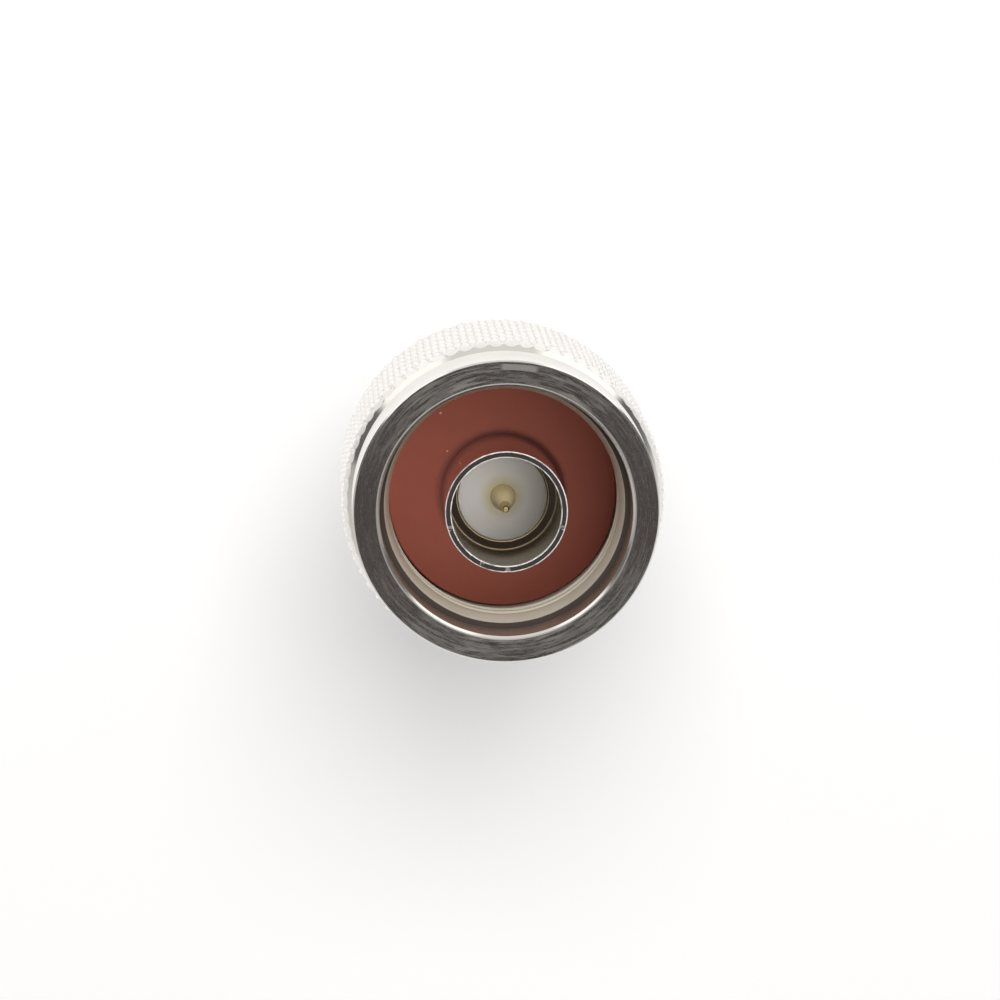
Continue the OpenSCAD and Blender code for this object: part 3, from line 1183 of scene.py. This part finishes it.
@dataclass
class PlugBody:
    """The turned body: ferrule, gasket seat, land for the nut and flatted barrel."""

    node: str = "plug_body"
    ferrule_r: float = 4.0
    ferrule_wall: float = 0.42
    socket_depth: float = 5.6
    throat_r: float = 3.0
    throat_len: float = 4.0
    insulator_r: float = 4.2
    insulator_len: float = 7.2
    chamber_r: float = 4.7
    chamber_len: float = 2.6
    rear_bore_r: float = 6.25
    land_r: float = 7.35
    nut_gap: float = 0.15
    ring_groove_r: float = 6.25
    ring_groove_len: float = 1.05
    gasket_groove: float = 0.2
    flats_half: float = 7.1
    flats_start: float = 2.6
    flats_len: float = 6.0
    flats_spacing: float = 0.4
    bevel: float = 0.3
    barrel_soft: tuple[float, float, float] = (0.03, 0.04, 0.05)
    flats_edge: float = 0.001
    rounding: float = 0.07
    columns: int = 360
    worn_edge: Corner = (0.08, 0.002)
    bare_edge: float = 0.08
    bare_inset: float = 0.03
    bore_margin: float = 0.005
    polished_from: float = 0.1
    nick_depth: float = 0.3
    nick_span: Corner = (3.4, 4.1)
    nicks: tuple[Nick, ...] = (
        Nick(-163.5, 3.9, 0.12, 2.0, 0.16),
        Nick(-16.6, 3.9, 0.1, 1.6, 0.16),
        Nick(-88.6, 3.92, 0.1, 1.8, 0.14),
        Nick(-114.8, 3.7, 0.1, 1.4, 0.16),
        Nick(-127.0, 3.66, 0.06, 2.2, 0.1),
        Nick(38.0, 3.98, 0.04, 2.6, 0.08),
        Nick(-58.0, 3.64, 0.04, 1.8, 0.08),
        Nick(112.0, 3.97, 0.04, 3.0, 0.08),
    )

    def build(self) -> Piece:
        """Builds the body over its solid.

        Returns:
            The dressed piece.
        """
        reach, gasket = Extent.of(self.node), Extent.of("face_gasket")
        rear, rim = reach.low, reach.high
        ring_z = Extent.of("retaining_ring").low
        shoulder = Extent.of("coupling_nut").low - self.nut_gap
        socket = rim - self.socket_depth
        throat = socket - self.throat_len
        chamber = throat - self.insulator_len
        step = chamber - self.chamber_len
        bore_r = self.ferrule_r - self.ferrule_wall
        ring = (ring_z, self.ring_groove_r, ring_z + self.ring_groove_len)
        seat = (gasket.low, self.ferrule_r - self.gasket_groove, gasket.high)
        bores = (socket, self.throat_r, throat, self.insulator_r, chamber, self.chamber_r, step)
        front = stepped(
            *(reach.y - self.bevel, shoulder, self.land_r, *ring, self.land_r, *seat),
            *(self.ferrule_r, rim, bore_r, *bores, self.rear_bore_r, rear + self.bevel),
        )
        front.append((self.rear_bore_r + self.bevel, rear))

        def zone(radius: Ring, height: float) -> BodySkin:
            """Picks the finish of a band.

            Args:
                radius: radius of a band's middle, in mm.
                height: its height, in mm.

            Returns:
                Its zone.
            """
            widest = np.max(radius)
            if rim - self.worn_edge[0] < height < rim - self.worn_edge[1]:
                return BodySkin.WORN
            at_edge = widest > bore_r - self.bare_inset or widest < self.throat_r + self.bare_edge
            if abs(height - socket) < self.bare_edge and at_edge:
                return BodySkin.BARE
            # the bore takes the finish with painted shade
            if widest < bore_r + self.bore_margin:
                return BodySkin.BORE
            return BodySkin.POLISHED if height > gasket.high - self.polished_from else BodySkin.SATIN

        mesh = TurnedMesh(self._angles(reach.y))
        barrel = self._barrel(mesh.angles, reach, shoulder)
        rings = mesh.skin(barrel + softened(front, self.rounding, closed=False), zone)
        mesh.band(rings[-1], rings[0], BodySkin.SATIN)
        self._dent(mesh, rim)
        piece = mesh.build("plug_body_shell", [SATIN, POLISHED, BORE_PAINTED_SHADE, WORN_EDGE, BARE_BRASS])
        return settle(piece, self.node, Slot.SATIN_NICKEL)

    def _dent(self, mesh: TurnedMesh, rim: float) -> None:
        """Presses small nicks into the rim of the ferrule.

        Args:
            mesh: the body's mesh.
            rim: level of the rim, in mm.
        """
        inner, outer = self.nick_span
        for points in mesh.points:
            radius = np.hypot(points[:, 0], points[:, 1]) / MM
            angle = np.degrees(np.arctan2(points[:, 1], points[:, 0]))
            for nick in self.nicks:
                turn = np.abs(np.mod(angle - nick.angle_deg + 180, 360) - 180)
                off = (turn / nick.width_deg) ** 2
                reach = np.exp(-off - ((radius - nick.radius) / nick.length) ** 2)
                near = (points[:, 2] / MM > rim - self.nick_depth) & (radius > inner) & (radius < outer)
                points[:, 2] -= np.where(near, nick.depth * reach, 0.0) * MM

    def _angles(self, barrel_r: float) -> np.ndarray:
        """Lays out the mesh's columns.

        Args:
            barrel_r: radius of the barrel, in mm.

        Returns:
            Evenly spaced angles, with one on each edge of the two wrench flats.
        """
        even = np.arange(self.columns) * FULL_TURN / self.columns
        edge = math.acos(self.flats_half / barrel_r)
        edges = np.array([edge, math.pi - edge, math.pi + edge, FULL_TURN - edge])
        spacing = self.flats_spacing * (FULL_TURN / self.columns)
        kept = [a for a in even if np.min(np.abs(edges - a)) > spacing]
        return np.sort(np.concatenate([kept, edges]))

    def _barrel(self, angles: np.ndarray, reach: Extent, shoulder: float) -> list[tuple[Ring, Ring]]:
        """Lays out the barrel with its two flats.

        Args:
            angles: angles of the mesh's columns, in radians.
            reach: extent of the body's solid.
            shoulder: level of the barrel's front end, in mm.

        Returns:
            The rings from the rear to the front.
        """
        rear, barrel_r = reach.low, reach.y
        low = rear + self.flats_start
        high = low + self.flats_len
        flat_r = np.minimum(barrel_r, self.flats_half / np.maximum(np.abs(np.cos(angles)), 1e-6))
        inset, near, far = self.barrel_soft
        return [
            (barrel_r - self.bevel, rear),
            (barrel_r - inset, rear + self.bevel - near),
            (barrel_r, rear + self.bevel + far),
            (barrel_r, low - inset),
            (barrel_r, low),
            (flat_r, low + self.flats_edge),
            (flat_r, low + inset),
            (flat_r, high - inset),
            (flat_r, high - self.flats_edge),
            (barrel_r, high),
            (barrel_r, high + inset),
            (barrel_r, shoulder - self.bevel - far),
            (barrel_r - inset, shoulder - self.bevel + near),
        ]


@dataclass
class FaceGasket:
    """The silicone ring that seals on the rim of the socket."""

    piece: PlainPiece = PlainPiece("face_gasket", "face_gasket_ring", RED_SILICONE, Slot.SILICONE, 0.12)
    inner_r: float = 3.84
    inner_round: float = 0.42
    inner_slope: float = 0.16
    inner_depth: float = 0.5

    def build(self) -> Piece:
        """Builds the gasket over its solid.

        Returns:
            The dressed piece.
        """
        reach = Extent.of(self.piece.node)
        lip = self.inner_r + self.inner_round
        section = stepped(self.inner_r, reach.low, reach.y, reach.high, lip)
        section.append((self.inner_r + self.inner_slope, reach.high - self.inner_slope))
        section.append((self.inner_r, reach.high - self.inner_depth))
        return self.piece.build(section)


@dataclass
class HeldContact:
    """The gold-plated pin and the two beads that hold its collar in the body."""

    front: PlainPiece = PlainPiece("front_insulator", "front_insulator_bead", WHITE_PTFE, Slot.PTFE)
    rear: PlainPiece = PlainPiece("rear_insulator", "rear_insulator_bead", WHITE_PTFE, Slot.PTFE)
    node: str = "centre_contact"
    nose_r: float = 2.96
    nose_len: float = 4.0
    pin_hole_r: float = 1.04
    lip_r: float = 0.81
    lip_t: float = 0.28
    collar_hole: Corner = (1.64, 0.8)
    cup_hole_r: float = 1.24
    core_hole: Corner = (1.55, 0.46)
    pin_r: float = 0.8
    tip_r: float = 0.22
    tip_arc: tuple[float, float, int] = (0.15, 1.4, 7)
    taper: float = 4.1
    point: tuple[Corner, ...] = ((0.66, 3.1), (0.52, 2.1), (0.38, 1.15), (0.24, 0.28))
    seat_r: float = 1.0
    seat_depth: float = 0.3
    collar_t: float = 0.8
    cup_r: float = 1.2
    cup_len: float = 2.9
    cup_bore_r: float = 0.5
    cup_bore_len: float = 1.9
    drill_point: float = 0.02
    rounding: float = 0.05
    columns: int = 96

    def front_bead(self) -> Piece:
        """Builds the bead that shows inside the ferrule.

        Returns:
            The dressed piece.
        """
        reach = Extent.of(self.front.node)
        collar_r, depth = self.collar_hole
        nose = (reach.y, reach.high - self.nose_len, self.nose_r, reach.high)
        hole = (self.lip_r, reach.high - self.lip_t, self.pin_hole_r, reach.low + depth)
        return self.front.build(stepped(collar_r, reach.low, *nose, *hole, collar_r))

    def rear_bead(self) -> Piece:
        """Builds the bead behind the pin's collar.

        Returns:
            The dressed piece.
        """
        reach = Extent.of(self.rear.node)
        core_r, depth = self.core_hole
        outside, hole = (reach.y, reach.high), (self.cup_hole_r, reach.low + depth)
        return self.rear.build(stepped(core_r, reach.low, *outside, *hole, core_r))

    def pin(self) -> Piece:
        """Builds the contact over its solid.

        Returns:
            The dressed piece.
        """
        reach = Extent.of(self.node)
        collar = reach.low + self.cup_len
        seat = Extent.of(self.front.node).high - self.seat_depth
        cup_end = reach.low + self.cup_bore_len
        outline = stepped(
            *(self.drill_point, cup_end, self.cup_bore_r, reach.low, self.cup_r, collar, reach.y),
            *(collar + self.collar_t, self.seat_r, seat, self.pin_r, reach.high - self.taper),
        )
        *cone, neck_at = [(r, reach.high - back) for r, back in self.point]
        tip = reach.high - self.tip_r
        arc = np.linspace(*self.tip_arc)
        point = [(self.tip_r * math.cos(a), tip + self.tip_r * math.sin(a)) for a in arc]
        mesh = TurnedMesh.even(self.columns)
        shank = mesh.sweep(softened(outline, self.rounding, closed=False) + cone, PinSkin.SHANK, closed=False)
        neck = mesh.ring(*neck_at)
        end = mesh.sweep(point, PinSkin.TIP, closed=False)
        # the neck band carries the painted dark reflection
        mesh.band(shank[-1], neck, PinSkin.NECK)
        mesh.band(neck, end[0], PinSkin.TIP)
        mesh.pole(shank[0], cup_end, PinSkin.SHANK)
        mesh.pole(end[-1], reach.high, PinSkin.SHANK)
        piece = mesh.build("centre_contact_pin", [DULL_GOLD, GOLD_PAINTED_DARK_REFLECTION, GOLD])
        return settle(piece, self.node, Slot.GOLD)


@dataclass
class CableClamp:
    """The ring, gasket and washer that grip the cable's braid and jacket."""

    ring: PlainPiece = PlainPiece("braid_clamp", "braid_clamp_ring", SATIN, Slot.SATIN_NICKEL)
    gasket: PlainPiece = PlainPiece("clamp_gasket", "clamp_gasket_ring", BLACK_RUBBER, Slot.NEOPRENE)
    washer: PlainPiece = PlainPiece("clamp_washer", "clamp_washer_ring", SATIN, Slot.SATIN_NICKEL)
    jacket_r: float = 2.6
    braid_r: float = 1.9
    vee_r: float = 4.3
    vee_half: float = 0.9
    ring_vee: float = 0.86
    gasket_vee: float = 0.9
    flange_t: float = 1.4
    nose_base_r: float = 4.2
    nose_end_r: float = 3.3

    def braid_ring(self) -> Piece:
        """Builds the tapered ring that presses the braid against the body.

        Returns:
            The dressed piece.
        """
        reach = Extent.of(self.ring.node)
        flange = reach.low + self.ring_vee
        step = flange + self.flange_t
        jacket_end = flange + self.flange_t / 2
        section = [(self.jacket_r, flange), (self.vee_r - self.vee_half, flange), (self.vee_r, reach.low)]
        section += stepped(self.vee_r + self.vee_half, flange, reach.y, step, self.nose_base_r)
        section += stepped(self.nose_end_r, reach.high, self.braid_r, jacket_end, self.jacket_r)
        return self.ring.build(section)

    def jacket_gasket(self) -> Piece:
        """Builds the rubber ring with a V groove.

        Returns:
            The dressed piece.
        """
        reach = Extent.of(self.gasket.node)
        section = stepped(self.jacket_r, reach.low, reach.y, reach.high, self.vee_r + self.vee_half)
        section.append((self.vee_r, reach.high - self.gasket_vee))
        section += stepped(self.vee_r - self.vee_half, reach.high, self.jacket_r)
        return self.gasket.build(section)

    def jacket_washer(self) -> Piece:
        """Builds the washer between the clamp nut and the rubber ring and returns it."""
        reach = Extent.of(self.washer.node)
        return self.washer.build(stepped(self.jacket_r, reach.low, reach.y, reach.high, self.jacket_r))


@dataclass
class RetainingRing:
    """The open spring ring that keeps the nut on the body."""

    node: str = "retaining_ring"
    width: float = 1.1
    slot_half: float = 1.4
    rounding: float = 0.1
    columns: int = 180

    def build(self) -> Piece:
        """Builds the ring over its solid.

        Returns:
            The dressed piece.
        """
        reach = Extent.of(self.node)
        inner_r = reach.y - self.width
        gap = math.asin(self.slot_half / inner_r)
        mesh = TurnedMesh(np.linspace(gap, FULL_TURN - gap, self.columns))
        corners = stepped(inner_r, reach.low, reach.y, reach.high, inner_r)
        rings = [mesh.ring(r, z) for r, z in softened(corners, self.rounding)]
        for low, high in zip(rings, rings[1:] + rings[:1]):
            mesh.band(low, high, whole=False)
        for end in (0, mesh.count - 1):
            mesh.face(*(ring + end for ring in rings))
        return settle(mesh.build("retaining_ring_open", [BRONZE]), self.node, Slot.BRONZE)


@dataclass
class ClampNut:
    """The hexagonal nut that closes the rear and lets the cable in."""

    node: str = "clamp_nut"
    hex_len: float = 6.6
    shank_r: float = 6.2
    neck_len: float = 0.5
    neck_depth: float = 0.3
    hole_r: float = 2.8
    bevel: float = 0.3
    rounding: float = 0.1
    per_side: int = 40
    corner_soft_deg: float = 2.2
    chamfer_deg: float = 30.0
    chamfer_start: float = 0.02
    chamfer_soft: Corner = (0.01, 0.06)
    end_inset: Corner = (0.25, 0.08)
    end_soft: float = 0.005
    sharp_deg: float = 30.0

    def build(self) -> Piece:
        """Builds the nut over its solid.

        Returns:
            The dressed piece.
        """
        reach = Extent.of(self.node)
        mesh = TurnedMesh.even(6 * self.per_side)
        hexagon = self._hexagon(mesh.angles, reach.y)
        slope = math.tan(math.radians(self.chamfer_deg))
        chamfer = np.maximum(hexagon - reach.y, 0.0) * slope + self.chamfer_start
        inset, rise = self.chamfer_soft
        far, near = (reach.y - back for back in self.end_inset)
        outer: list[tuple[Ring, Ring]] = [
            (far, 0.0),
            (near, self.end_soft),
            (hexagon - inset, chamfer),
            (hexagon, chamfer + rise),
            (hexagon, self.hex_len - chamfer - rise),
            (hexagon - inset, self.hex_len - chamfer),
            (near, self.hex_len - self.end_soft),
            (far, self.hex_len),
        ]
        neck_r, neck_end = self.shank_r - self.neck_depth, self.hex_len + self.neck_len
        rest = [(neck_r, self.hex_len)]
        rest += stepped(neck_r, neck_end, self.shank_r, reach.high, self.hole_r, self.bevel)
        rest.append((self.hole_r + self.bevel, 0.0))
        mesh.sweep(outer + softened(rest, self.rounding, closed=False))
        return settle(mesh.build("clamp_nut_hexagon", [SATIN], self.sharp_deg), self.node, Slot.BRIGHT_NICKEL)

    def _hexagon(self, angles: np.ndarray, flat_half: float) -> np.ndarray:
        """Works out the hexagon with slightly softened corners.

        Args:
            angles: angles round the axis, in radians.
            flat_half: half the width across the flats, in mm.

        Returns:
            The radius at each angle, in mm.
        """
        step = math.radians(60)
        from_corner = np.abs(np.mod(angles + step / 2, step) - step / 2)
        soft = math.radians(self.corner_soft_deg)
        eased = np.where(from_corner < soft, soft / 2 + from_corner**2 / (2 * soft), from_corner)
        return flat_half / np.cos(step / 2 - eased)


# The studio


@dataclass(frozen=True)
class SoftLight:
    """A square light: its place from the nut's front face and size in metres, and its power."""

    name: str
    place: tuple[float, float, float]
    size: float
    watts: float


@dataclass
class Studio:
    """Floor, light tent, soft lights and camera.

    The tent's levels are given at shares of a turn; they may pass 1, so ramps hold them halved.
    """

    tilt_deg: float = 11.0
    lean: tuple[float, float] = (-0.235, 0.972)
    distance_mm: float = 275.0
    lens_mm: float = 152.5
    sensor_mm: float = 36.0
    clip_m: Corner = (0.01, 20.0)
    aim_right_mm: float = -0.426
    aim_up_mm: float = 0.808
    floor_half_m: float = 1.5
    overhead: SoftLight = SoftLight("overhead", (0.02, 0.24, 0.5), 0.3, 2.4)
    gasket_side: SoftLight = SoftLight("gasket_side", (0.35, -0.07, 0.42), 0.9, 3.15)
    ferrule_side: SoftLight = SoftLight("ferrule_side", (0.3, -0.05, 0.45), 0.8, 3.7)
    low_tent: Stops = (
        (0.0, 0.5), (0.04, 0.65), (0.15, 0.7), (0.35, 0.7), (0.46, 0.65), (0.505, 0.5),
        (0.52, 0.15), (0.584, 0.15), (0.598, 1.4), (0.69, 1.4), (0.705, 0.82), (0.81, 0.8),
        (0.825, 1.3), (0.905, 1.25), (0.92, 0.15), (0.98, 0.15), (0.99, 0.5),
    )
    middle_tent: Stops = (
        (0.0, 0.35), (0.25, 0.3), (0.5, 0.35), (0.65, 0.55), (0.75, 0.6), (0.88, 0.35), (1.0, 0.35),
    )
    above_low: Stops = ((0.38, 0.0), (0.5, 1.0))
    above_middle: Stops = ((0.83, 0.0), (0.9, 1.0))
    zenith: float = 0.065
    tent_tint: Colour = (1.0, 0.985, 0.965)
    zenith_tint: Colour = (1.0, 0.87, 0.84)
    backdrop: Colour = (0.96, 0.96, 0.955)

    def camera(self, top: Vector) -> None:
        """Adds the camera, looking down on the mating face.

        Args:
            top: centre of the nut's front face, in metres.
        """
        tilt = math.radians(self.tilt_deg)
        away = Vector((*(math.sin(tilt) * part for part in self.lean), math.cos(tilt))).normalized()
        up = (Vector((0, 1, 0)) - away * away.y).normalized()
        place = top + away * self.distance_mm * MM
        target = top + up.cross(away) * self.aim_right_mm * MM + up * self.aim_up_mm * MM
        back = (place - target).normalized()
        right = up.cross(back).normalized()
        data = bpy.data.cameras.new("camera")
        data.lens = self.lens_mm
        data.sensor_width = self.sensor_mm
        data.clip_start, data.clip_end = self.clip_m
        camera = bpy.data.objects.new("camera", data)
        turned = Matrix((right, back.cross(right), back)).transposed().to_4x4()
        camera.matrix_world = Matrix.Translation(place) @ turned
        bpy.context.scene.collection.objects.link(camera)
        bpy.context.scene.camera = camera

    def floor(self) -> Piece:
        """Adds the pale floor that the plug stands on.

        Returns:
            The floor.
        """
        mesh = bpy.data.meshes.new("floor")
        half = self.floor_half_m
        corners = [(-half, -half, 0), (half, -half, 0), (half, half, 0), (-half, half, 0)]
        mesh.from_pydata(corners, [], [(0, 1, 2, 3)])
        mesh.materials.append(FLOOR_PAPER.material())
        floor = bpy.data.objects.new("floor", mesh)
        bpy.context.scene.collection.objects.link(floor)
        return floor

    def world(self) -> None:
        """Lights the scene with a tent: soft boxes low at the back, dark overhead."""
        world = bpy.data.worlds.new("tent")
        bpy.context.scene.world = world
        world.use_nodes = True
        wiring = Wiring(world.node_tree)
        generated = wiring.add("TexCoord").outputs["Generated"]
        x, y, up = wiring.add("SeparateXYZ", {0: generated}).outputs
        azimuth = wiring.math("MULTIPLY_ADD", wiring.math("ARCTAN2", y, x), 1 / FULL_TURN, 0.5)
        low, middle = (
            wiring.ramp(azimuth, [(place, level / 2) for place, level in tent])
            for tent in (self.low_tent, self.middle_tent)
        )
        sides = wiring.mix(wiring.ramp(up, self.above_low), low, middle, "FLOAT")
        overhead = wiring.ramp(up, self.above_middle)
        level = wiring.mix(overhead, sides, self.zenith / 2, "FLOAT")
        feeds = {
            "Color": wiring.mix(overhead, self.tent_tint, self.zenith_tint),
            "Strength": wiring.math("MULTIPLY", level, 2.0),
        }
        tent = wiring.add("Background", feeds)
        backdrop = wiring.add("Background", {"Color": self.backdrop})
        seen = wiring.add("LightPath").outputs["Is Camera Ray"]
        mix = wiring.add("MixShader", {0: seen, 1: tent.outputs[0], 2: backdrop.outputs[0]})
        wiring.add("OutputWorld", {"Surface": mix.outputs[0]})

    def soft_light(
        self, light: SoftLight, top: Vector, lit: Sequence[Piece], shading: Sequence[Piece]
    ) -> None:
        """Adds a large soft light that polished metal doesn't mirror.

        Args:
            light: the light's name, place, size and power.
            top: centre of the nut's front face, in metres.
            lit: the objects that it lights.
            shading: the objects that cast its shadows.
        """
        data = bpy.data.lights.new(light.name, "AREA")
        data.shape = "SQUARE"
        data.size = light.size
        data.energy = light.watts
        lamp = bpy.data.objects.new(light.name, data)
        lamp.location = top + Vector(light.place)
        lamp.rotation_euler = Vector(light.place).to_track_quat("Z", "Y").to_euler()
        lamp.visible_glossy = False
        bpy.context.scene.collection.objects.link(lamp)
        groups = [bpy.data.collections.new(f"{light.name}_{part}") for part in ("lit", "shading")]
        for group, members in zip(groups, (lit, shading)):
            for member in members:
                group.objects.link(member)
        lamp.light_linking.receiver_collection, lamp.light_linking.blocker_collection = groups

    def lights(self, top: Vector, pieces: Sequence[Piece], floor: Piece) -> None:
        """Adds the overhead light and the side lights for the gasket and the ferrule.

        Args:
            top: centre of the nut's front face, in metres.
            pieces: the pieces of the plug: nut, body, gasket, front insulator, then the rest.
            floor: the floor.
        """
        nut, body, gasket, insulator, *others = pieces
        self.soft_light(self.overhead, top, [nut, body, *others, floor], pieces)
        self.soft_light(self.gasket_side, top, [gasket], [nut])
        self.soft_light(self.ferrule_side, top, [body, insulator], [nut, body])


def main() -> None:
    """Builds the plug, dresses it and sets up the studio."""
    logging.basicConfig(level=logging.INFO, format="%(name)s: %(message)s")
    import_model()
    bpy.context.scene.view_settings.view_transform = "Standard"
    contact, clamp = HeldContact(), CableClamp()
    pieces = [
        CouplingNut().build(),
        PlugBody().build(),
        FaceGasket().build(),
        contact.front_bead(),
        contact.rear_bead(),
        clamp.braid_ring(),
        clamp.jacket_gasket(),
        clamp.jacket_washer(),
        contact.pin(),
        RetainingRing().build(),
        ClampNut().build(),
    ]
    top = Vector((0, 0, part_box("coupling_nut")[1].z))
    studio = Studio()
    studio.camera(top)
    studio.world()
    studio.lights(top, pieces, studio.floor())


if __name__ == "__main__":
    main()
